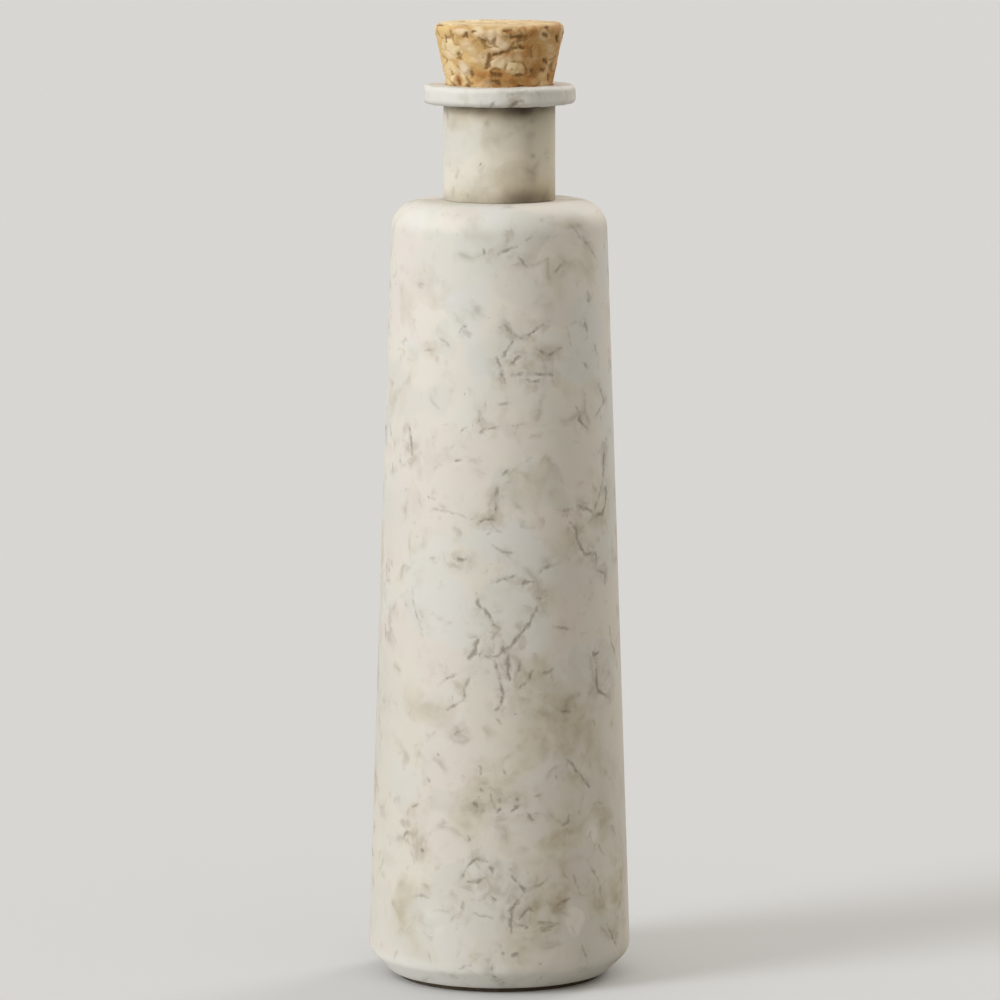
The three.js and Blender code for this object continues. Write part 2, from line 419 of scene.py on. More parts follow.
# The longer veins on the front: a width, then points across from the axis and up, in millimetres.
VEINS = (
    (0.85, 1.0, 131.6, 2.3, 129.5, 4.0, 128.3), (0.9, 8.4, 130.8, 5.3, 128.8, 3.8, 128.2),
    (0.95, 2.6, 127.7, 0.7, 124.9), (1.3, 3.8, 124.9, 2.1, 123.1),
    (0.8, -0.6, 124.7, 0.4, 122.6, 0.9, 119.7), (0.9, 2.6, 121.3, 5.2, 121.4, 10.3, 121.0),
    (0.75, 7.0, 126.2, 9.4, 124.9, 12.1, 126.2), (0.75, 0.0, 144.6, 3.2, 146.0),
    (0.85, 3.8, 143.8, 5.3, 142.0), (0.55, 13.5, 150.1, 15.6, 147.4, 18.8, 142.7),
    (0.9, 12.2, 142.5, 10.6, 140.7), (0.7, 16.3, 131.5, 17.0, 128.9), (0.5, 13.1, 130.1, 13.8, 126.6),
    (0.8, 14.9, 114.6, 15.6, 111.6, 17.1, 109.9), (0.6, 19.0, 118.8, 20.3, 114.7, 18.6, 112.2),
    (0.9, -3.8, 114.2, -3.8, 112.0), (0.7, -3.8, 110.1, -2.5, 110.9, -0.1, 111.1),
    (0.65, -0.1, 115.7, 2.4, 115.7), (1.2, -17.4, 109.8, -16.9, 105.0),
    (0.9, -0.3, 99.7, -0.6, 96.5, -0.8, 93.4, -2.9, 93.4, -4.1, 92.6),
    (0.8, 20.8, 107.5, 20.4, 104.8, 20.1, 99.0), (0.6, 20.1, 99.0, 19.1, 95.8, 18.1, 93.6),
    (1.1, 20.3, 98.6, 20.9, 96.9, 20.6, 94.6, 19.9, 93.0, 18.5, 92.7), (0.8, 12.2, 94.6, 14.2, 94.6),
    (1.0, 15.2, 95.1, 17.8, 93.9), (1.0, 13.7, 92.2, 14.8, 90.6, 15.4, 87.6, 16.6, 85.9, 18.5, 85.6),
    (0.8, 18.8, 85.6, 18.8, 82.3, 20.5, 81.2, 20.6, 79.2), (0.55, -1.4, 88.4, 0.6, 87.0, 3.3, 87.0),
    (0.45, -2.6, 90.2, -1.2, 91.2, 0.3, 90.9), (0.8, -1.4, 81.4, 0.9, 81.8, 3.2, 82.5),
    (0.65, 7.5, 82.9, 8.6, 83.9, 11.8, 84.6),
    (1.0, 7.3, 76.2, 6.2, 74.2, 5.7, 72.8, 4.1, 71.2, 2.5, 69.1, 0.6, 67.8, -0.3, 66.7, -2.6, 66.8),
    (0.75, -4.5, 79.1, -3.8, 76.5, -1.9, 74.9, -1.4, 73.3, -0.2, 72.0, -1.3, 70.4),
    (1.4, 1.6, 67.3, 1.9, 62.3), (0.85, 3.9, 65.9, 3.6, 64.0), (0.8, 6.4, 64.1, 5.6, 62.1, 3.9, 60.6),
    (0.9, -1.0, 66.1, -0.2, 63.4, 0.8, 60.0, 0.6, 58.0, -0.7, 56.2),
    (0.8, -5.8, 62.5, -6.7, 60.4, -6.7, 58.3, -10.0, 56.2), (0.5, -7.2, 63.8, -10.0, 62.2, -12.1, 60.3),
    (0.6, 10.5, 72.3, 13.8, 71.4), (1.1, 18.8, 62.9, 19.0, 58.9, 21.5, 56.7),
    (0.65, 21.5, 70.7, 21.8, 67.6, 22.8, 64.3, 23.1, 61.7),
    (0.5, -16.9, 79.1, -16.7, 75.8, -15.1, 71.4), (0.9, 13.3, 45.8, 17.5, 40.1),
    (0.8, -7.9, 22.9, -5.5, 26.5, -4.1, 27.3, -2.4, 26.8), (1.0, -6.2, 22.8, -4.5, 22.7, -2.8, 23.7),
    (0.9, 2.6, 24.0, 5.1, 20.7, 9.2, 22.8), (1.2, 3.7, 19.2, 2.2, 17.1, 2.4, 12.9),
    (1.2, 3.9, 15.7, 5.6, 17.5, 6.5, 17.1), (0.8, 9.2, 18.5, 10.9, 17.5, 13.7, 19.0),
    (0.8, 7.5, 14.5, 11.6, 14.1), (0.7, -6.9, 18.6, -7.6, 16.7, -9.6, 14.5),
    (0.9, 20.9, 12.6, 22.8, 7.7), (0.6, 14.4, 23.2, 15.7, 19.5),
    (0.6, 17.5, 24.9, 19.2, 21.9, 19.9, 18.3), (0.6, 16.0, 9.1, 17.5, 5.2),
    (0.55, -4.8, 16.5, -1.4, 15.8), (0.5, -14.0, 8.6, -13.4, 6.0), (1.4, 2.4, 8.5, 3.6, 8.5),
    (1.3, 0.6, 9.0, 0.9, 8.8), (0.8, -1.4, 6.8, -1.2, 4.4, -0.6, 3.4), (0.8, -10.0, 3.9, -8.8, 3.4),
    (1.0, -3.8, 45.3, -3.7, 43.9), (0.7, -3.1, 42.2, -2.1, 42.0), (0.8, -3.5, 41.0, -3.4, 40.7),
    (0.75, -1.6, 39.7, -0.9, 37.3), (0.8, 0.0, 39.2, 0.1, 38.6), (0.9, 0.7, 44.8, 1.1, 44.1),
    (1.7, -4.8, 38.0, -4.4, 37.6), (0.5, -6.4, 39.1, -6.2, 38.9), (0.6, -3.2, 36.9, -2.9, 36.7),
    (1.3, -0.5, 36.4, 0.2, 36.9), (1.1, 2.4, 36.6, 3.1, 37.3, 4.1, 37.5), (1.0, 3.4, 39.0, 3.6, 38.8),
    (0.7, 5.5, 36.3, 6.1, 35.2, 7.0, 34.3), (0.9, -15.8, 37.0, -17.0, 36.3),
    (1.8, -18.0, 31.3, -18.7, 30.1), (1.5, -15.2, 28.3, -15.0, 27.9), (0.8, 11.0, 42.9, 11.3, 42.5),
    (1.8, -1.5, 25.5, -1.3, 25.0), (0.9, -6.1, 31.5, -5.7, 30.8), (0.65, -13.9, 42.6, -13.6, 41.8),
    (0.8, -3.0, 145.6, -2.8, 144.4), (0.5, 5.1, 147.1, 6.3, 147.6), (0.8, 17.0, 134.7, 17.9, 135.4),
    (0.9, -7.6, 129.6, -6.5, 130.7), (0.5, -11.5, 128.0, -10.3, 127.4, -9.6, 126.6),
    (0.5, -14.4, 125.4, -12.9, 125.8), (0.6, 18.3, 126.6, 19.0, 123.8), (0.8, 16.2, 122.8, 17.2, 121.6),
    (0.8, 5.4, 120.4, 6.2, 119.9, 7.6, 120.0), (1.0, -7.3, 110.3, -6.4, 111.1),
    (0.8, 5.2, 104.8, 6.1, 105.2), (0.85, 0.8, 102.0, 1.9, 103.0),
    (0.5, -13.0, 94.9, -9.5, 94.6, -6.4, 93.6), (1.3, -8.4, 85.5, -6.6, 85.6),
    (1.1, 4.4, 80.2, 5.0, 81.4, 6.6, 81.3), (1.2, 7.2, 78.0, 8.2, 78.0), (1.3, 0.7, 68.6, 0.9, 67.5),
    (1.5, -4.2, 69.8, -4.6, 67.9, -6.0, 66.4), (1.1, 18.1, 66.2, 18.6, 65.4, 19.3, 66.3),
    (0.6, 8.0, 63.2, 9.3, 63.3, 10.6, 64.2), (1.0, 12.0, 55.5, 13.8, 55.3),
    (0.55, -0.7, 54.9, 0.2, 53.9), (0.5, 18.2, 53.2, 18.6, 52.0), (1.1, -8.6, 51.6, -7.2, 52.2),
    (0.7, 7.0, 39.2, 8.3, 39.9), (0.5, 18.2, 36.6, 20.4, 36.4),
    (0.6, 12.0, 33.2, 13.2, 33.6, 13.6, 35.2), (0.5, 19.2, 28.8, 19.8, 27.4),
    (1.3, -1.4, 19.8, -0.6, 19.2), (0.5, -17.2, 18.6, -15.4, 19.2, -13.6, 18.9),
    (0.5, -12.6, 16.6, -9.8, 16.7), (0.9, 3.9, 14.2, 5.6, 13.8), (0.75, 8.1, 13.0, 10.0, 13.2),
    (0.6, -8.0, 5.6, -5.4, 6.4), (0.7, -1.6, 3.2, -0.4, 3.0, 0.6, 3.4), (0.8, -22.3, 70.6, -22.2, 67.8),
    (0.8, -21.7, 83.6, -21.5, 81.4), (0.7, -21.2, 109.6, -21.1, 107.8),
    (0.5, -19.3, 104.8, -19.2, 101.6), (0.7, -20.8, 102.4, -20.6, 100.2),
)
# Tan stains on the front, pale lumps with less than no strength, and in the last, wide rows painted
# shade on the right of the front and at its lower right edge: the middle across and up, half the width
# and the height, and the strength.
STAINS_AND_SHADE = (
    (10.9, 139.5, 2.6, 5.0, 1.5), (17.1, 144.0, 2.6, 4.0, 0.8), (13.5, 149.5, 4.0, 2.2, 0.5),
    (-1.0, 147.0, 4.0, 2.0, 0.3), (9.4, 125.6, 3.6, 1.8, 0.7), (4.0, 122.4, 4.0, 2.4, 0.6),
    (-13.0, 126.0, 3.0, 1.8, 0.5), (-17.4, 123.0, 3.0, 3.0, 0.3), (8.3, 101.3, 5.6, 4.4, 0.45),
    (5.6, 104.5, 1.8, 1.8, -0.5), (14.1, 87.2, 3.4, 3.2, 0.8), (9.5, 77.2, 2.6, 2.8, 0.9),
    (6.6, 56.8, 5.4, 3.4, 0.8), (14.8, 54.2, 6.0, 4.0, 1.0), (-12.6, 55.4, 5.0, 3.0, 0.6),
    (11.8, 50.0, 5.4, 3.4, 0.8), (17.8, 43.5, 4.2, 5.4, 0.8), (20.4, 33.5, 3.2, 5.4, 0.9),
    (12.6, 33.2, 4.6, 4.6, 1.0), (-6.9, 34.4, 3.0, 2.8, 0.7), (-1.8, 39.8, 5.4, 3.8, 0.5),
    (-16.5, 19.4, 3.4, 2.4, 0.7), (-19.8, 14.5, 3.6, 3.4, 0.6), (12.0, 19.6, 4.0, 2.4, 0.8),
    (7.5, 15.4, 4.6, 3.2, 0.7), (18.8, 16.3, 3.0, 3.0, 0.7), (15.0, 15.3, 2.4, 3.2, -2.0),
    (-13.4, 15.0, 3.4, 3.8, -0.6), (18.2, 31.2, 2.2, 2.2, -1.2), (3.4, 73.5, 4.0, 5.0, -0.5),
    # Painted shade on the right of the front, with a little tan stain at the lower right edge.
    (6.0, 18.0, 6.0, 10.0, 0.4), (4.0, 48.0, 5.0, 12.0, 0.4), (8.0, 70.0, 6.0, 12.0, 0.3),
    (11.0, 24.0, 5.0, 12.0, 0.3), (23.6, 17.0, 3.6, 10.0, 1.9),
)
# Soil on the neck, with painted shade under the lip and at the neck's foot, and the lip's veins and
# stains, in the same forms.
NECK_SOIL_AND_SHADE = (
    (4.7, 172.0, 1.9, 1.2, 1.7), (8.0, 172.2, 2.4, 1.0, 0.6), (5.2, 171.4, 3.4, 1.8, 0.5),
    (1.6, 171.5, 2.6, 1.7, 0.6), (-3.0, 171.6, 2.4, 1.4, 0.42), (-6.6, 172.0, 1.8, 0.9, 0.35),
    (7.0, 170.0, 6.0, 3.0, 0.1), (-2.5, 168.9, 0.5, 0.7, 0.2), (6.3, 169.3, 0.5, 0.4, 0.2),
    (-10.1, 170.3, 0.6, 1.2, 0.15), (6.0, 166.6, 1.2, 0.8, 0.12), (5.7, 164.1, 1.3, 3.0, 0.1),
    (6.5, 162.5, 0.5, 0.4, 0.35), (6.1, 158.3, 1.6, 2.4, 0.15), (4.6, 153.8, 3.6, 2.2, 0.78),
    (8.4, 154.2, 2.8, 2.0, 0.42), (-5.0, 155.0, 5.4, 3.4, 0.17),
)
LIP_VEINS = (
    (0.8, -3.4, 173.3, -3.3, 172.2), (0.8, -1.0, 173.3, -1.8, 172.2),
    (0.9, 2.0, 172.5, 3.2, 173.1, 4.6, 173.4), (0.6, 2.1, 174.9, 3.1, 174.9),
    (0.6, 13.0, 174.6, 13.3, 173.0),
)
LIP_STAINS = (
    (3.3, 173.0, 2.0, 1.2, 0.8), (7.6, 174.4, 1.4, 1.2, 0.5), (-7.0, 174.0, 2.0, 0.8, 0.3),
    (0.4, 175.2, 1.4, 0.5, 0.4),
)
# Crevices of the cork, and its rusty patches, with pale granules where the strength is less than none.
CREVICES = (
    (1.8, -1.8, 182.3, -2.1, 180.9, -2.4, 179.6),
    (1.0, -1.8, 182.3, 0.1, 182.4, 2.2, 183.3, 4.6, 183.7), (1.3, -3.9, 185.2, -2.3, 184.7),
    (1.4, -6.3, 186.6, -6.7, 185.8, -6.4, 185.5), (1.3, -8.4, 182.0, -7.8, 182.4),
    (1.6, -8.1, 177.2, -7.8, 176.2), (1.4, -6.4, 178.3, -5.4, 178.9, -5.5, 178.0),
    (1.6, -1.7, 178.9, -1.0, 178.2, 0.3, 178.1), (1.8, -1.2, 176.9, 0.1, 176.5),
    (1.2, 0.8, 187.0, 2.3, 187.0), (1.1, 1.4, 185.5, 3.4, 185.7, 5.2, 185.6),
    (1.8, 4.2, 183.8, 4.7, 183.4), (1.5, 8.7, 186.2, 9.1, 185.5), (1.4, 11.1, 185.6, 11.4, 184.4),
    (1.7, 8.6, 181.1, 9.4, 180.6), (1.8, 8.0, 179.1, 8.6, 179.0), (1.4, 6.2, 179.3, 6.4, 178.8),
    (1.3, 9.4, 177.9, 9.8, 176.8), (1.3, 2.7, 178.1, 5.0, 178.2), (1.0, -10.6, 185.6, -10.4, 184.6),
    (1.0, -4.6, 187.0, -5.4, 186.6), (1.1, -9.6, 179.0, -9.2, 178.2),
)
RUST = (
    (-4.3, 178.5, 1.6, 1.4, 0.9), (-2.6, 177.4, 2.0, 1.3, 0.8), (-0.4, 178.6, 1.4, 1.0, 1.7),
    (-8.0, 177.1, 1.2, 1.2, 1.2), (2.0, 186.8, 1.3, 0.7, 1.0), (6.5, 186.7, 1.3, 1.1, 1.2),
    (11.2, 185.0, 0.8, 1.6, 1.2), (6.6, 179.2, 2.2, 1.6, 1.6), (8.6, 180.6, 1.4, 1.6, 0.9),
    (9.9, 177.6, 1.4, 1.8, 1.0), (3.0, 177.0, 2.6, 1.1, 1.6), (-0.8, 176.5, 2.2, 0.7, 1.4),
    (-7.9, 181.4, 0.8, 0.8, 0.6), (4.9, 182.8, 2.2, 1.8, 1.0), (4.0, 185.4, 2.2, 0.8, 0.9),
    (-1.8, 186.2, 2.6, 1.1, -0.9), (0.1, 184.0, 2.2, 1.0, -1.0), (0.6, 180.5, 2.6, 1.3, -1.1),
    (-7.6, 187.0, 2.0, 1.0, -0.8), (-6.4, 183.8, 1.8, 1.4, -0.6), (-4.3, 181.2, 1.6, 1.6, -0.5),
    (-9.6, 182.6, 1.4, 1.6, -0.6), (10.6, 181.6, 1.0, 1.4, -0.5),
)
# Where a piece's marks come again round its back: a turn in degrees and a rise in millimetres.
BODY_TURNS = ((0.0, 0.0), (122.0, -37.0), (225.0, 43.0))
RING_TURNS = ((0.0, 0.0), (115.0, 0.0), (205.0, 0.0))
# The bearing to either side that counts as the front, where no mark comes again.
FRONT_HALF = math.radians(80.0)
# Veins: their layers, the width of a tip as a share, the blur of their sides, and how they wobble.
VEIN_LAYERS = 4
VEIN_END = 0.65
VEIN_BLUR = 0.41
WOBBLE_SIZE = 1.7
WOBBLE_REACH = 1.3
# A distance at which a vein can't be seen.
FAR = 20.0


class Drawing(NamedTuple):
    """Marks placed on the front of a piece, where they come again, and its radius by height."""
    veins: tuple
    stains: tuple
    turns: tuple
    radius: Callable


def vein_parts(vein, radius_at):
    """A vein's straight parts on the unrolled wall: bearing, height and width at both ends."""
    width, *places = vein
    points = zip(places[::2], places[1::2])
    bends = [np.array((math.asin(min(across / radius_at(up), 1)), up)) for across, up in points]
    stations = bends[:1]
    for start, end in zip(bends, bends[1:]):
        stations += [(start + end) / 2, end]
    tip = VEIN_END * width
    widths = [tip] + [width] * (len(stations) - 2) + [tip]
    pairs = zip(stations, stations[1:], widths, widths[1:])
    return [(*start, *end, first, last) for start, end, first, last in pairs]


def comes_to_front(bearing, turn):
    """Whether a mark that comes again, a turn away from its bearing, would lie on the front."""
    there = (bearing + math.radians(turn) + math.pi) % (2 * math.pi) - math.pi
    return turn != 0 and abs(there) < FRONT_HALF


def mark_piece(mesh, drawing):
    """Keeps on each point its offsets to the nearest vein of each layer, and how much stain and painted
    shade it has.

    Veins that follow each other in the list go to different layers, so that both show where they meet.
    """
    place = np.empty(len(mesh.vertices) * 3, np.float32)
    mesh.vertices.foreach_get("co", place)
    x, y, height = (place.reshape(-1, 3) / MM).astype(float).T
    bearing = np.arctan2(x, -y)
    radius = np.hypot(x, y)
    marks = np.full((VEIN_LAYERS, len(x), 4), FAR)
    stain_and_shade = np.zeros(len(x))
    for turn, rise in drawing.turns:
        side = (bearing - math.radians(turn) + math.pi) % (2 * math.pi) - math.pi
        level = height
        if rise:
            level = (height - rise - CHAMFER_TOP) % (SHOULDER - CHAMFER_TOP) + CHAMFER_TOP
        for index, vein in enumerate(drawing.veins):
            mark = marks[index % VEIN_LAYERS]
            parts = vein_parts(vein, drawing.radius)
            if any(comes_to_front(part[0], turn) for part in parts):
                continue
            for part in parts:
                gap = vein_gap(part, side, level, radius)
                nearer = gap[:, 2] < mark[:, 2]
                mark[nearer] = gap[nearer]
        for across, up, wide, high, strength in drawing.stains:
            middle = math.asin(across / drawing.radius(up))
            if comes_to_front(middle, turn):
                continue
            away = np.hypot((side - middle) * radius / wide, (level - up) / high)
            stain_and_shade += strength * np.exp(-(away**2))
    for layer, mark in enumerate(marks):
        keep(mesh, f"vein_{layer}", mark[:, :3])
        keep(mesh, f"width_{layer}", mark[:, 3])
    keep(mesh, "stain_and_shade", stain_and_shade)


def vein_gap(part, side, level, radius):
    """Offsets across and up to a straight part of a vein, the distance, and the vein's width there."""
    start, bottom, end, top, first, last = part
    run_across = (end - start) * radius
    run_up = top - bottom
    across = (side - start) * radius
    up = level - bottom
    share = np.clip((across * run_across + up * run_up) / (run_across**2 + run_up**2), 0, 1)
    width = first + share * (last - first)
    gap_across = across - share * run_across
    gap_up = up - share * run_up
    return np.stack([gap_across, gap_up, np.hypot(gap_across, gap_up), width], axis=1)


class Stone(NamedTuple):
    """How a piece is cut from the block: where, and how strongly it is marked."""
    shift: tuple
    veins: float
    stains: float
    white: float = 0.0
    warm: float = 0.0
    drawn: bool = False


BODY_STONE = Stone((0.0, 0.0, 0.0), 0.26, 0.5, drawn=True)
NECK_STONE = Stone((31.0, 57.0, 12.0), 0.2, 1.0, warm=0.15)
LIP_STONE = Stone((83.0, 12.0, 40.0), 0.3, 0.3, white=0.6, drawn=True)
PLUG_STONE = Stone((12.0, 91.0, 71.0), 0.5, 0.8)

CREAM = shade(224, 219, 208)
COOL = shade(220, 219, 216)
ROSE = shade(224, 214, 207)
SAGE = shade(211, 210, 201)
TAN = shade(192, 181, 157)
DEEP_TAN = shade(172, 159, 131)
SMUDGE = shade(160, 147, 122)
VEIN = shade(112, 102, 86)
WHITE = shade(222, 220, 215)
LUMP = shade(229, 224, 214)
# Painted shade towards the foot of the body.
FOOT_PAINTED_SHADE = shade(192, 184, 168)
WARM = shade(216, 204, 178)
# Painted warm shade on the neck.
PAINTED_WARM_SHADE = shade(206, 188, 148)
# Painted light on the base chamfer, which faces down.
CHAMFER_PAINTED_LIGHT = shade(247, 245, 238)
# Painted shade and dirt on the neck.
SHADE_AND_DIRT = shade(56, 42, 18)
# What an even layer of stain, or of painted shade and dirt, leaves to be seen of the stone.
STAIN_CLEAR = 0.42
SHADE_AND_DIRT_CLEAR = 0.26

# Sizes of what noise makes in the stone, and how much of a vein is smeared beside it.
BLOCK_CELL = 10.0
LARGE_VEIN_CELL = 12.0
SMALL_VEIN_CELL = 6.0
SPECK_CELL = 2.6
LUMP_CELL = 6.5
FLOCK_SIZE = 9.0
STAIN_SIZE = 10.0
SMEAR_SHARE = 2.1

# Depths of the marks, and the height and size of the swells that hand work leaves.
VEIN_DEPTH = 0.06
PIT_DEPTH = 0.1
WALL_SWELL = (0.08, 8.0)
LIP_SWELL = (0.45, 4.0)


class Marble(NamedTuple):
    """Fields of the marble: random tones of its cells, and how much of each mark there is."""
    tones: object
    vein: object
    smear: object
    speck: object
    stain_and_shade: object


def broken_lines(graph, place, cell, width, low, high, lift):
    """Soft lines along the borders of cells, which stop where a noise and its lift are low."""
    level = graph.total(graph.noise(place, 0.5 * cell, 3.0)[0], lift)
    presence = graph.ramp(level, low, high)
    half = graph.product(presence, width / 2)
    border = graph.border(place, cell)
    line = graph.ramp(border, graph.total(half, VEIN_BLUR), 0.0)
    near = graph.ramp(border, 1.8, 0.1)
    return graph.product(line, presence), graph.product(near, presence)


def drawn_lines(graph, place):
    """Soft jagged lines along the veins that a piece's points are marked with, and their zone."""
    drift = graph.noise(place, WOBBLE_SIZE, 4.0, 0.62)[1]
    wobble = graph.vector("SUBTRACT", drift, (0.5, 0.5, 0.5))
    wobble = graph.vector("MULTIPLY", wobble, (WOBBLE_REACH, WOBBLE_REACH, 0.0))
    swell = graph.ramp(graph.noise(place, 1.2, 2.0)[0], 0.36, 0.66, 0.04, 0.45)
    fade = graph.ramp(graph.noise(place, 1.4, 3.0)[0], 0.38, 0.62, 0.3, 1.05)
    line = 0.0
    zone = 0.0
    for layer in range(VEIN_LAYERS):
        marked = graph.read(f"vein_{layer}", "FLOAT_VECTOR")
        gap = graph.vector("MULTIPLY", marked, (1.0, 1.0, 0.0))
        away = graph.split(marked)[2]
        width = graph.read(f"width_{layer}")
        reach = graph.total(graph.product(swell, width), VEIN_BLUR)
        pushed = graph.dot(graph.vector("NORMALIZE", gap), wobble)
        offset = graph.math("ABSOLUTE", graph.total(graph.length(gap), pushed))
        stroke = graph.ramp(offset, reach, 0.0)
        strength = graph.larger(fade, graph.ramp(width, 0.8, 1.1))
        strength = graph.product(strength, graph.ramp(width, 0.0, 0.9), graph.ramp(away, 1.6, 1.1))
        line = graph.larger(line, graph.product(stroke, strength))
        near = graph.product(graph.ramp(away, 3.4, 0.8), graph.ramp(width, 0.3, 0.9))
        zone = graph.larger(zone, near)
    return line, zone


def marble_fields(graph, position, stone):
    """Marks that noise makes in the stone. Drawn stone has those of its points as well."""
    place = graph.vector("ADD", position, stone.shift)
    bent = graph.wander(graph.wander(place, 10.0, 4.0), 1.8, 0.5)
    tones = graph.cells(bent, BLOCK_CELL, "SMOOTH_F1", smoothness=0.45)["Color"]
    drawn, zone = drawn_lines(graph, place) if stone.drawn else (0.0, 0.0)
    lift = graph.product(zone, 0.14)
    large, large_smear = broken_lines(graph, bent, LARGE_VEIN_CELL, 0.5, 0.53, 0.72, lift)
    small, small_smear = broken_lines(graph, bent, SMALL_VEIN_CELL, 0.4, 0.56, 0.76, lift)
    network = graph.product(graph.larger(large, small), stone.veins)
    vein = graph.larger(network, drawn)
    patch = graph.ramp(graph.noise(place, 3.0, 3.0)[0], 0.42, 0.66)
    smear = graph.product(graph.larger(large_smear, small_smear), SMEAR_SHARE * stone.veins)
    smear = graph.larger(smear, graph.product(zone, patch, 0.75))
    blot = graph.ramp(graph.noise(bent, 2.3, 2.0)[0], 0.63, 0.76)
    flock = graph.ramp(graph.noise(place, FLOCK_SIZE, 2.0)[0], 0.5, 0.66)
    smear = graph.larger(smear, graph.product(blot, flock, 0.7))
    dots = graph.cells(bent, SPECK_CELL)["Distance"]
    size = graph.ramp(graph.noise(place, 2.2, 1.0)[0], 0.4, 0.75, 0.0, 0.24)
    speck = graph.product(graph.ramp(dots, size, graph.product(size, 0.3)), flock)
    soak = graph.ramp(graph.noise(bent, STAIN_SIZE, 3.0)[0], 0.48, 0.74)
    stain_and_shade = graph.product(soak, stone.stains)
    if stone.drawn:
        lumps = graph.cells(bent, LUMP_CELL, "SMOOTH_F1", smoothness=0.45)["Color"]
        uneven = graph.ramp(graph.noise(bent, 4.0, 3.0)[0], 0.3, 0.62, 0.4, 1.2)
        uneven = graph.product(uneven, graph.ramp(graph.split(lumps)[1], 0.25, 0.75, 0.5, 1.6))
        stain_and_shade = graph.total(stain_and_shade, graph.product(graph.read("stain_and_shade"), uneven))
    return Marble(tones, vein, smear, speck, stain_and_shade)


def marble_relief(stone, rise, size):
    """The marble's surface: in swells of a rise and a size, worn in at the veins and pitted."""
    def relief(graph, position):
        fields = marble_fields(graph, position, stone)
        swell = graph.math("SUBTRACT", graph.noise(position, size, 2.0)[0], 0.5)
        swell = graph.product(swell, rise)
        wear_and_painted_light = graph.product(fields.vein, -VEIN_DEPTH)
        pits = graph.product(fields.speck, -PIT_DEPTH)
        return graph.total(swell, wear_and_painted_light, pits)

    return relief


def marble_material(name, stone, painted_light=None, shade_and_dirt=None):
    """Marble. Painted light changes its colour, and shade and dirt is how much painted shade and
    settled dirt darken it, both by position.
    """
    material, graph, shader, position = new_material(name)
    fields = marble_fields(graph, position, stone)
    tone_red, tone_green, tone_blue = graph.split(fields.tones)
    place = graph.vector("ADD", position, stone.shift)
    cloud = graph.noise(place, 15.0, 2.0)[0]
    colour = graph.tint(CREAM, COOL, tone_red, 0.4, 0.85, 0.8)
    colour = graph.tint(colour, ROSE, tone_green, 0.5, 0.9, 0.7)
    colour = graph.tint(colour, SAGE, tone_blue, 0.5, 0.9, 0.7)
    colour = graph.tint(colour, SAGE, cloud, 0.46, 0.7, 0.5)
    colour = graph.blend(stone.white, colour, WHITE)
    colour = graph.blend(stone.warm, colour, WARM)
    # Painted light and shade, where the piece has them.
    if painted_light:
        colour = painted_light(graph, position, colour)
    tan = graph.tint(TAN, DEEP_TAN, graph.noise(place, 2.6, 4.0)[0], 0.36, 0.66)
    soaked = graph.larger(graph.math("SUBTRACT", fields.stain_and_shade, 0.12), 0.0)
    colour = graph.blend(graph.covered(STAIN_CLEAR, soaked), colour, tan)
    colour = graph.tint(colour, LUMP, fields.stain_and_shade, -0.1, -0.9, 0.6)
    colour = graph.blend(graph.product(fields.smear, 0.5), colour, SMUDGE)
    colour = graph.blend(graph.product(fields.vein, 0.62), colour, VEIN)
    colour = graph.blend(graph.product(fields.speck, 0.5), colour, VEIN)
    # Painted shade with some dirt, where the piece has it.
    if shade_and_dirt:
        colour = graph.blend(shade_and_dirt(graph, position), colour, SHADE_AND_DIRT)
    grain = graph.noise(position, 0.5, 2.0)[0]
    rough = graph.total(graph.ramp(grain, 0.3, 0.7, 0.52, 0.64), graph.product(fields.vein, 0.15))
    height = graph.total(graph.product(grain, 0.012), graph.product(fields.vein, -0.03))
    finish_material(graph, shader, colour, rough, height)
    return material


def body_painted_light(graph, position, colour):
    """Painted light: darker towards the foot, painted shade where little light comes up from the floor,
    and the chamfer under it painted pale, less on the right.
    """
    x, _, height = graph.split(position)
    # Darker towards the foot: painted shade where little light comes up from the floor.
    colour = graph.tint(colour, FOOT_PAINTED_SHADE, height, 150.0, 40.0, 0.36)
    # The chamfer made pale, more on the lit left: painted light where it faces down, away from the
    # lamps.
    wear_and_painted_light = graph.ramp(height, CHAMFER_TOP + 2.0, CHAMFER_TOP - 1.0)
    wear_and_painted_light = graph.product(wear_and_painted_light, graph.ramp(x, 4.0, 20.0, 1.0, 0.45))
    return graph.blend(wear_and_painted_light, colour, CHAMFER_PAINTED_LIGHT)


def neck_painted_shade(graph, position, colour):
    """Painted shade: yellower and darker on the right, away from the key lamp, and all round towards
    its foot and under the lip, less on the lit left.
    """
    x, _, height = graph.split(position)
    # Warm painted shade on the right side, under the lip and at the foot, less on the lit left.
    side = graph.ramp(x, -11.0, 9.0)
    side = graph.product(side, graph.ramp(height, SHOULDER + 7.0, SHOULDER + 1.0, 0.3, 0.7))
    under = graph.ramp(height, LIP_BOTTOM - 5.0, LIP_BOTTOM - 0.5, 0.0, 0.6)
    foot = graph.ramp(height, SHOULDER + 5.0, SHOULDER, 0.0, 0.45)
    ends = graph.product(graph.larger(under, foot), graph.ramp(x, -12.0, -6.0, 0.25, 1.0))
    return graph.blend(graph.larger(side, ends), colour, PAINTED_WARM_SHADE)


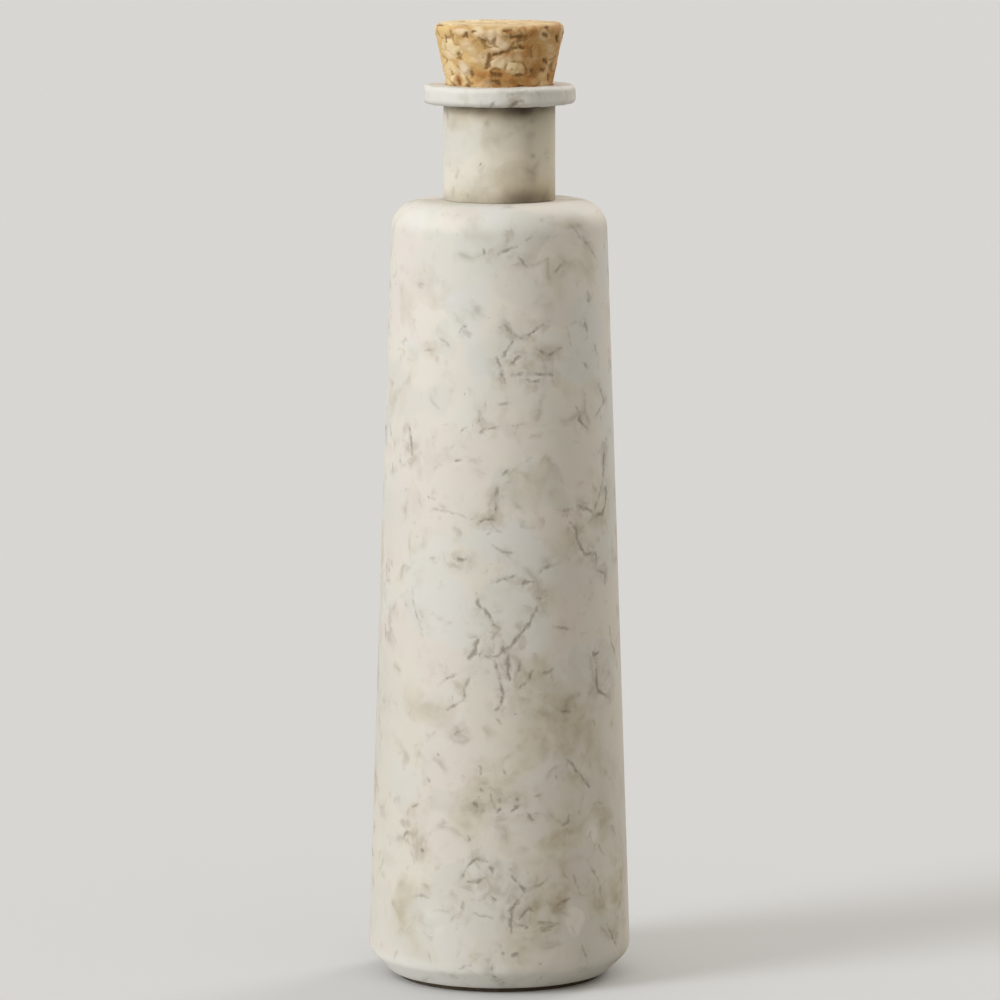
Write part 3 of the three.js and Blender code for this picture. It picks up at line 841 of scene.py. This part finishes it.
def neck_shade_and_dirt(graph, position):
    """Painted shade with some dirt under the lip and along the foot of the neck, all round and in the
    placed spots.
    """
    x, y, height = graph.split(position)
    patch = graph.noise(graph.vector("ADD", position, (7.0, 3.0, 0.0)), 4.0, 3.0)[0]
    # Under the lip, where its shadow falls: painted shade with some dirt.
    under = graph.ramp(height, LIP_BOTTOM - 2.2, LIP_BOTTOM)
    under = graph.product(under, graph.ramp(patch, 0.34, 0.62, 0.3, 0.5))
    # Along the neck's foot, in the crease on the shoulder: painted shade with some dirt.
    foot = graph.ramp(height, SHOULDER + 2.8, SHOULDER)
    foot = graph.product(foot, graph.ramp(patch, 0.34, 0.62, 0.18, 0.3))
    spots = graph.product(graph.read("stain_and_shade"), graph.ramp(patch, 0.3, 0.6, 0.85, 1.1))
    total = graph.total(graph.larger(under, foot), spots)
    radius = graph.length(graph.join(x, y, 0.0))
    outside = graph.ramp(radius, NECK_RADIUS - 0.7, NECK_RADIUS - 0.3)
    return graph.product(graph.covered(SHADE_AND_DIRT_CLEAR, total), outside)


CORK_CREAM = shade(234, 210, 163)
CORK_TAN = shade(219, 186, 126)
CORK_BROWN = shade(190, 147, 87)
CORK_ORANGE = shade(172, 114, 52)
# Amber painted shade on the cork's right side.
CORK_SHADE_AMBER = shade(188, 134, 68)
CORK_PALE = shade(238, 222, 186)
CORK_WHITE = shade(228, 216, 192)
CORK_PEACH = shade(233, 209, 171)
CORK_UMBER = shade(124, 86, 36)
CORK_DARK = shade(84, 58, 28)
CORK_BLACK = shade(44, 36, 27)
# The middle of a single pale chip on the front of the cork.
CORK_CHIP = (-6.9, -8.7, 179.4)

# Sizes of the granules in the stopper and in the thin sheet, which is dark smoked cork, darkened
# further so that its edge under the stone reads as the contact shadow: painted shade.
CORK_GRAIN = 4.6
SHEET_GRAIN = 1.7
SHEET_SMOKE_AND_SHADE = 0.93
# How deep the pale top goes, which is partly the cut face's colour and partly painted light from above,
# and how far above the lip the cork is rusty.
CORK_CUT_AND_LIT = 0.6
RUSTY_RISE = 6.0
# Depths of the cork's surface.
GRANULE_DEPTH = 0.06
CREVICE_DEPTH = 0.28
CORK_PIT_DEPTH = 0.15


class Cork(NamedTuple):
    """Fields of pressed cork: tones of its granules, their edges, crevices, pits, a mottle and rust."""
    tones: object
    edge: object
    crevice: object
    pit: object
    mottle: object
    rust: object


def cork_fields(graph, position, grain, drawn):
    """Granules of about the grain's size, a little flattened, with soft crevices in places.

    Drawn cork has the marks of its points on its side as well.
    """
    bent = graph.wander(position, 1.1 * grain, 0.35 * grain)
    bent = graph.wander(bent, 0.35 * grain, 0.08 * grain)
    flat = graph.vector("MULTIPLY", bent, (1.0, 1.0, 1.7))
    tones = graph.cells(flat, 0.9 * grain, "SMOOTH_F1", smoothness=0.4)["Color"]
    edge = graph.border(flat, 0.9 * grain)
    gape = graph.ramp(graph.noise(position, 0.7 * grain, 3.0)[0], 0.47, 0.68)
    reach = graph.total(graph.product(gape, 0.13 * grain), 0.05 * grain)
    crevice = graph.product(graph.ramp(edge, reach, 0.0), graph.ramp(gape, 0.0, 0.6))
    pit = graph.ramp(graph.noise(bent, 0.25 * grain, 2.0)[0], 0.66, 0.8)
    mottle = graph.noise(position, 0.45 * grain, 4.0, 0.6)[0]
    rust = 0.0
    if drawn:
        height = graph.split(position)[2]
        side = graph.ramp(height, CORK_TOP - 0.2, CORK_TOP - 1.4)
        rust = graph.product(graph.read("stain_and_shade"), side)
        line = graph.product(drawn_lines(graph, position)[0], side)
        shown = graph.product(graph.ramp(height, LIP_TOP - 1.0, LIP_TOP + 1.0), side)
        crevice = graph.product(crevice, graph.ramp(shown, 0.0, 1.0, 1.0, 0.6))
        crevice = graph.larger(crevice, line)
    return Cork(tones, edge, crevice, pit, mottle, rust)


def cork_relief(graph, position):
    """Granules that stand at slightly different heights, with crevices and pits between them."""
    fields = cork_fields(graph, position, CORK_GRAIN, True)
    level = graph.ramp(graph.split(fields.tones)[0], 0.0, 1.0, -GRANULE_DEPTH, 0.0)
    lumps = graph.ramp(fields.mottle, 0.3, 0.7, -0.1, 0.02)
    crown = graph.ramp(fields.edge, 0.0, 0.6, -0.05, 0.0)
    crevice = graph.product(fields.crevice, -CREVICE_DEPTH)
    pit = graph.product(fields.pit, -CORK_PIT_DEPTH)
    return graph.total(level, lumps, crown, crevice, pit)


def cork_material(name, grain, smoke_and_shade, pale_from, rusty_below, drawn=False):
    """Pressed cork, darkened by smoke and painted shade, paler above a height where it is cut and
    painted lit from above, and rusty below another.
    """
    material, graph, shader, position = new_material(name)
    fields = cork_fields(graph, position, grain, drawn)
    tone_red, tone_green, tone_blue = graph.split(fields.tones)
    x, _, height = graph.split(position)
    cut_and_lit_top = graph.ramp(height, pale_from, pale_from + 0.5)
    # Browning that grows towards the right, the side away from the key lamp: painted shade.
    shady = graph.ramp(x, -11.0, 1.0, 0.35, 1.0)
    colour = graph.tint(CORK_TAN, CORK_CREAM, tone_red, 0.2, 0.7)
    brown = graph.product(graph.ramp(tone_green, 0.55, 0.9, 0.0, 0.55), shady)
    colour = graph.blend(brown, colour, CORK_BROWN)
    colour = graph.tint(colour, CORK_PALE, tone_blue, 0.35, 0.05, 0.5)
    mottle = graph.product(graph.ramp(fields.mottle, 0.46, 0.68, 0.0, 0.5), shady)
    colour = graph.blend(mottle, colour, CORK_BROWN)
    low = graph.ramp(height, rusty_below, rusty_below - 6.0, 0.0, 0.14)
    rust = graph.total(tone_blue, low, graph.ramp(x, -9.0, 9.0, -0.2, 0.1))
    rust = graph.product(graph.ramp(rust, 0.58, 0.85), graph.ramp(fields.mottle, 0.35, 0.62, 0.2, 0.65))
    broken = graph.ramp(fields.mottle, 0.32, 0.6, 0.4, 0.9)
    placed = graph.product(graph.ramp(fields.rust, 0.1, 0.8), broken)
    colour = graph.blend(graph.larger(rust, placed), colour, CORK_ORANGE)
    colour = graph.tint(colour, CORK_UMBER, fields.rust, 0.8, 1.6, 0.5)
    # Amber towards the right, the shaded side: painted shade.
    colour = graph.tint(colour, CORK_SHADE_AMBER, x, -2.0, 11.0, 0.4)
    colour = graph.tint(colour, CORK_PEACH, fields.rust, -0.1, -0.6, 0.85)
    # Brown along the granules' borders: painted shade in the seams between them.
    colour = graph.tint(colour, CORK_BROWN, fields.edge, 0.14 * grain, 0.0, 0.42)
    chip = graph.length(graph.vector("SUBTRACT", graph.wander(position, 1.6, 0.8), CORK_CHIP))
    colour = graph.tint(colour, CORK_WHITE, chip, 2.1, 0.5, 0.7)
    open_side = graph.product(graph.ramp(cut_and_lit_top, 0.0, 1.0, 1.0, 0.6), graph.ramp(chip, 1.0, 2.0))
    crevice = graph.product(fields.crevice, open_side)
    colour = graph.tint(colour, CORK_UMBER, crevice, 0.0, 0.85, 0.78)
    colour = graph.tint(colour, CORK_DARK, crevice, 0.7, 1.0, 0.3)
    colour = graph.blend(graph.product(fields.pit, open_side, 0.7), colour, CORK_DARK)
    # Paler on the top: partly the cut face's colour, partly painted light from above.
    colour = graph.blend(graph.product(cut_and_lit_top, 0.3), colour, CORK_PALE)
    # Smoke, and in the sheet painted shade: dark enough for its edge to read as the contact shadow.
    colour = graph.blend(smoke_and_shade, colour, CORK_BLACK)
    pores = graph.noise(position, 0.25, 2.0)[0]
    rough = graph.ramp(pores, 0.3, 0.7, 0.75, 0.92)
    relief = graph.total(graph.product(pores, 0.05), graph.product(fields.mottle, 0.1))
    finish_material(graph, shader, colour, rough, relief)
    return material


GLASS_PALE = shade(236, 244, 240)
GLASS_GREEN = shade(228, 240, 234)
GLASS_INDEX = 1.5
SILICONE_PALE = shade(196, 194, 187)
SILICONE_GREY = shade(176, 174, 167)


def glass_material():
    material, graph, shader, position = new_material("clear_glass")
    ripple = graph.noise(position, 9.0, 2.0)[0]
    colour = graph.blend(ripple, GLASS_PALE, GLASS_GREEN)
    rough = graph.ramp(ripple, 0.3, 0.7, 0.02, 0.06)
    shader.inputs["Transmission Weight"].default_value = 1.0
    shader.inputs["IOR"].default_value = GLASS_INDEX
    finish_material(graph, shader, colour, rough, graph.product(ripple, 0.03))
    return material


def silicone_material():
    material, graph, shader, position = new_material("silicone")
    bloom = graph.noise(position, 3.0, 3.0)[0]
    colour = graph.blend(bloom, SILICONE_PALE, SILICONE_GREY)
    rough = graph.ramp(bloom, 0.3, 0.7, 0.5, 0.68)
    height = graph.product(graph.noise(position, 0.4, 2.0)[0], 0.02)
    finish_material(graph, shader, colour, rough, height)
    return material


def make_body(material):
    corners = (
        Corner(BORE_RADIUS, STONE_BOTTOM, EDGE_ROUNDING),
        Corner(BASE_RADIUS - BASE_CHAMFER, STONE_BOTTOM, BASE_ROUNDING, BODY_STEP),
        Corner(BASE_RADIUS, CHAMFER_TOP, CHAMFER_ROUNDING, BODY_STEP),
        Corner(SHOULDER_RADIUS, SHOULDER, SHOULDER_ROUNDING, BODY_STEP),
        Corner(NECK_RADIUS + NECK_MARGIN, SHOULDER, 0.0, BODY_STEP),
        Corner(SPIGOT_RADIUS + CEMENT_GAP, SHOULDER, EDGE_ROUNDING),
        Corner(SPIGOT_RADIUS + CEMENT_GAP, ROOF, EDGE_ROUNDING),
        Corner(BORE_RADIUS, ROOF, EDGE_ROUNDING),
    )
    mesh = turned_mesh("body", corners, True)
    mark_piece(mesh, Drawing(VEINS, STAINS_AND_SHADE, BODY_TURNS, wall_radius))
    piece = add_piece("body_shell", "bottle", mesh, material)
    carve(piece, marble_relief(BODY_STONE, *WALL_SWELL))


def make_neck(material):
    mouth_depth = (mouth_radius(NECK_TOP) - PASSAGE_RADIUS) / CORK_SLOPE
    corners = (
        Corner(PASSAGE_RADIUS, ROOF, EDGE_ROUNDING),
        Corner(SPIGOT_RADIUS, ROOF, EDGE_ROUNDING),
        Corner(SPIGOT_RADIUS, SHOULDER, SEAM_ROUNDING),
        Corner(NECK_RADIUS, SHOULDER, NECK_FOOT_ROUNDING),
        Corner(NECK_RADIUS, LIP_BOTTOM, 0.0, FINE_STEP),
        Corner(NECK_RADIUS, NECK_TOP, SEAM_ROUNDING),
        Corner(mouth_radius(NECK_TOP), NECK_TOP, SEAM_ROUNDING),
        Corner(PASSAGE_RADIUS, NECK_TOP - mouth_depth, 0.0, MOUTH_STEP),
    )
    mesh = turned_mesh("neck", corners, True)
    mark_piece(mesh, Drawing((), NECK_SOIL_AND_SHADE, RING_TURNS, lambda height: NECK_RADIUS))
    piece = add_piece("neck", "bottle", mesh, material)
    carve(piece, marble_relief(NECK_STONE, *WALL_SWELL))


def make_lip(material):
    rebate = NECK_RADIUS + CEMENT_GAP
    corners = (
        Corner(mouth_radius(NECK_TOP), NECK_TOP, SEAM_ROUNDING),
        Corner(rebate, NECK_TOP, SEAM_ROUNDING),
        Corner(rebate, LIP_BOTTOM, REBATE_ROUNDING),
        Corner(LIP_RADIUS, LIP_BOTTOM, LIP_ROUNDING, FINE_STEP),
        Corner(LIP_RADIUS, LIP_TOP, LIP_ROUNDING, FINE_STEP),
        Corner(mouth_radius(LIP_TOP), LIP_TOP, MOUTH_ROUNDING, FINE_STEP),
    )
    mesh = turned_mesh("lip", corners, True)
    mark_piece(mesh, Drawing(LIP_VEINS, LIP_STAINS, RING_TURNS, lambda height: LIP_RADIUS))
    piece = add_piece("lip_ring", "bottle", mesh, material)
    carve(piece, marble_relief(LIP_STONE, *LIP_SWELL))


def make_cork(material):
    corners = (
        Corner(0.0, CORK_END, 0.0, FINE_STEP),
        Corner(cork_radius(CORK_END), CORK_END, CORK_END_BEVEL, FINE_STEP),
        Corner(cork_radius(CORK_TOP), CORK_TOP, CORK_TOP_ROUNDING, FINE_STEP),
        Corner(0.0, CORK_TOP, 0.0, FINE_STEP),
    )
    mesh = turned_mesh("cork", corners, False)
    mark_piece(mesh, Drawing(CREVICES, RUST, RING_TURNS, cork_radius))
    piece = add_piece("cork_stopper", "stopper", mesh, material)
    carve(piece, cork_relief)


def disc_corners(radius, bottom, top, rounding, step):
    return (
        Corner(0.0, bottom, 0.0, step),
        Corner(radius, bottom, rounding, step),
        Corner(radius, top, rounding, step),
        Corner(0.0, top, 0.0, step),
    )


def make_inner_pieces(marble, glass, silicone, sheet):
    """The foot under the stone, the plug in its bore, and the lining with its two soft seats."""
    foot = disc_corners(FOOT_RADIUS, FOOT_BOTTOM, FOOT_TOP, FOOT_ROUNDING, FOOT_STEP)
    plug = disc_corners(PLUG_RADIUS, STONE_BOTTOM, PLUG_TOP, PLUG_ROUNDING, INNER_STEP)
    seat = disc_corners(LINED_RADIUS, SEAT_BOTTOM, SEAT_TOP, SEAT_ROUNDING, INNER_STEP)
    inner = LINED_RADIUS - LINER_WALL
    floor_top = LINER_BOTTOM + LINER_FLOOR
    liner = (
        Corner(0.0, LINER_BOTTOM, 0.0, LINER_STEP),
        Corner(LINED_RADIUS, LINER_BOTTOM, LINER_CORNER, LINER_STEP),
        Corner(LINED_RADIUS, LINER_TOP, LINER_RIM_ROUNDING, LINER_WALL_STEP),
        Corner(inner, LINER_TOP, LINER_RIM_ROUNDING, LINER_RIM_STEP),
        Corner(inner, floor_top, LINER_CORNER - LINER_WALL, LINER_WALL_STEP),
        Corner(0.0, floor_top, 0.0, LINER_STEP),
    )
    gasket = (
        Corner(PASSAGE_RADIUS, GASKET_BOTTOM, GASKET_ROUNDING),
        Corner(LINED_RADIUS, GASKET_BOTTOM, GASKET_ROUNDING, INNER_STEP),
        Corner(LINED_RADIUS, GASKET_TOP, GASKET_ROUNDING, INNER_STEP),
        Corner(PASSAGE_RADIUS, GASKET_TOP, GASKET_ROUNDING, INNER_STEP),
    )
    pieces = (
        ("foot_disc", "cork_sheet", turned_mesh("foot", foot, False), sheet),
        ("base_plug", "body_marble", turned_mesh("plug", plug, False), marble),
        ("seat_disc", "silicone", turned_mesh("seat", seat, False), silicone),
        ("glass_liner", "clear_glass", turned_mesh("liner", liner, False), glass),
        ("rim_gasket", "silicone", turned_mesh("gasket", gasket, True), silicone),
    )
    for node, slot, mesh, material in pieces:
        add_piece(node, "bottle", mesh, material)


FLOOR_PALE = shade(210, 210, 210)
FLOOR_DIM = shade(153, 151, 147)
FLOOR_REACH = 30.0


def seen_by_eye(graph):
    """1 for what the camera sees, straight, in a gloss or through glass."""
    path = graph.node("ShaderNodeLightPath").outputs
    seen = graph.larger(path["Is Camera Ray"], path["Is Glossy Ray"])
    return graph.larger(seen, path["Is Transmission Ray"])


def make_floor():
    material = bpy.data.materials.new("floor")
    material.use_nodes = True
    graph = Graph(material.node_tree)
    shader = material.node_tree.nodes["Principled BSDF"]
    colour = graph.blend(seen_by_eye(graph), FLOOR_DIM, FLOOR_PALE)
    graph.tree.links.new(colour, shader.inputs["Base Color"])
    shader.inputs["Roughness"].default_value = 0.9
    shader.inputs["Specular IOR Level"].default_value = 0.1
    side = FLOOR_REACH
    corners = [(-side, -side, 0), (side, -side, 0), (side, side, 0), (-side, side, 0)]
    mesh = bpy.data.meshes.new("floor")
    mesh.from_pydata(corners, [], [(0, 1, 2, 3)])
    mesh.materials.append(material)
    floor = new_object("floor", mesh)


SKY_SIDE = shade(199, 192, 180)
SKY_TOP = shade(228, 226, 222)
SKY_SEEN = shade(214, 213, 211)


def make_sky():
    world = bpy.data.worlds.new("studio")
    bpy.context.scene.world = world
    world.use_nodes = True
    graph = Graph(world.node_tree)
    direction = graph.node("ShaderNodeTexCoord").outputs["Generated"]
    height = graph.split(direction)[2]
    light = graph.tint(SKY_SIDE, SKY_TOP, height, 0.1, 0.9)
    path = graph.node("ShaderNodeLightPath").outputs
    colour = graph.blend(path["Is Camera Ray"], light, SKY_SEEN)
    background = world.node_tree.nodes["Background"]
    graph.tree.links.new(colour, background.inputs["Color"])


COOL_LIGHT = (0.93, 0.965, 1.0)
WARM_LIGHT = (1.0, 0.98, 0.95)
# Lamps: the bearing and the elevation, how bright, how soft in degrees, and the colour.
LAMPS = {
    "key": (-60.0, 28.0, 0.40, 24.0, COOL_LIGHT),
    "low_key": (-60.0, 9.0, 0.26, 14.0, COOL_LIGHT),
    "rim": (140.0, 30.0, 0.25, 24.0, WARM_LIGHT),
}
LAMP_DISTANCE = 2.0


def make_lamp(name, bearing, elevation, level, softness, colour):
    """A distant soft lamp. A white card that faces it comes out at level from this lamp alone."""
    lamp = bpy.data.lights.new(name, "SUN")
    lamp.energy = level * math.pi
    lamp.angle = math.radians(softness)
    lamp.color = colour
    holder = new_object(name, lamp)
    turn, rise = math.radians(bearing), math.radians(elevation)
    flat = math.cos(rise)
    towards = Vector((math.sin(turn) * flat, -math.cos(turn) * flat, math.sin(rise)))
    holder.location = LAMP_DISTANCE * towards
    holder.rotation_euler = towards.to_track_quat("Z", "Y").to_euler()


CAMERA_PLACE = (0.000115, -1.18, 0.2461)
CAMERA_PITCH = 7.333
CAMERA_LENS = 218.0
CAMERA_SENSOR = 36.0
CAMERA_REACH = 100.0


def make_camera():
    data = bpy.data.cameras.new("camera")
    data.lens = CAMERA_LENS
    data.sensor_width = CAMERA_SENSOR
    data.clip_end = CAMERA_REACH
    camera = new_object("camera", data)
    camera.location = CAMERA_PLACE
    camera.rotation_euler = (math.radians(90 - CAMERA_PITCH), 0, 0)
    bpy.context.scene.camera = camera


def make_stage():
    bpy.context.scene.view_settings.view_transform = "Standard"
    make_floor()
    make_sky()
    for name, settings in LAMPS.items():
        make_lamp(name, *settings)
    make_camera()


def make_vial():
    make_body(marble_material("body_marble", BODY_STONE, painted_light=body_painted_light))
    make_neck(marble_material("neck_marble", NECK_STONE, painted_light=neck_painted_shade, shade_and_dirt=neck_shade_and_dirt))
    make_lip(marble_material("lip_marble", LIP_STONE))
    cut_and_lit_top, rusty = CORK_TOP - CORK_CUT_AND_LIT, LIP_TOP + RUSTY_RISE
    make_cork(cork_material("granulated_cork", CORK_GRAIN, 0.0, cut_and_lit_top, rusty, drawn=True))
    make_inner_pieces(
        marble_material("plug_marble", PLUG_STONE),
        glass_material(),
        silicone_material(),
        cork_material("cork_sheet", SHEET_GRAIN, SHEET_SMOKE_AND_SHADE, FOOT_TOP, FOOT_TOP),
    )


make_vial()
make_stage()
